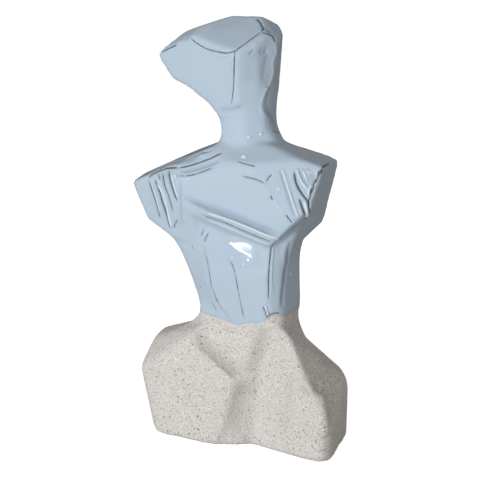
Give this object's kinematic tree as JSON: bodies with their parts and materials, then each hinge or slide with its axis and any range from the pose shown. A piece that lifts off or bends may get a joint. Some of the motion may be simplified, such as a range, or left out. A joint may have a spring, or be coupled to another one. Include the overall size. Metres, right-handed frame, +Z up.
{
  "type": "abstract ceramic torso sculpture",
  "caption": "Standing abstract ceramic torso with a beaked head, cut arm stubs, nipped waist and wide flat-based hips, glazed to the waist and bare stoneware below.",
  "frame": {"origin": "centre of the flat underside, under the middle of the overall box", "axes": "+Z up the figure, -Y out of its chest, +X towards the viewer's right"},
  "size_m": [0.229, 0.0928, 0.42],
  "materials": {
    "glazed_stoneware": "glossy pale steel-blue glaze above the waist breaking to grey-brown on cut edges, matte off-white speckled stoneware below"
  },
  "bodies": {
    "root": {"torso_figure": "glazed_stoneware"}
  },
  "joints": []
}
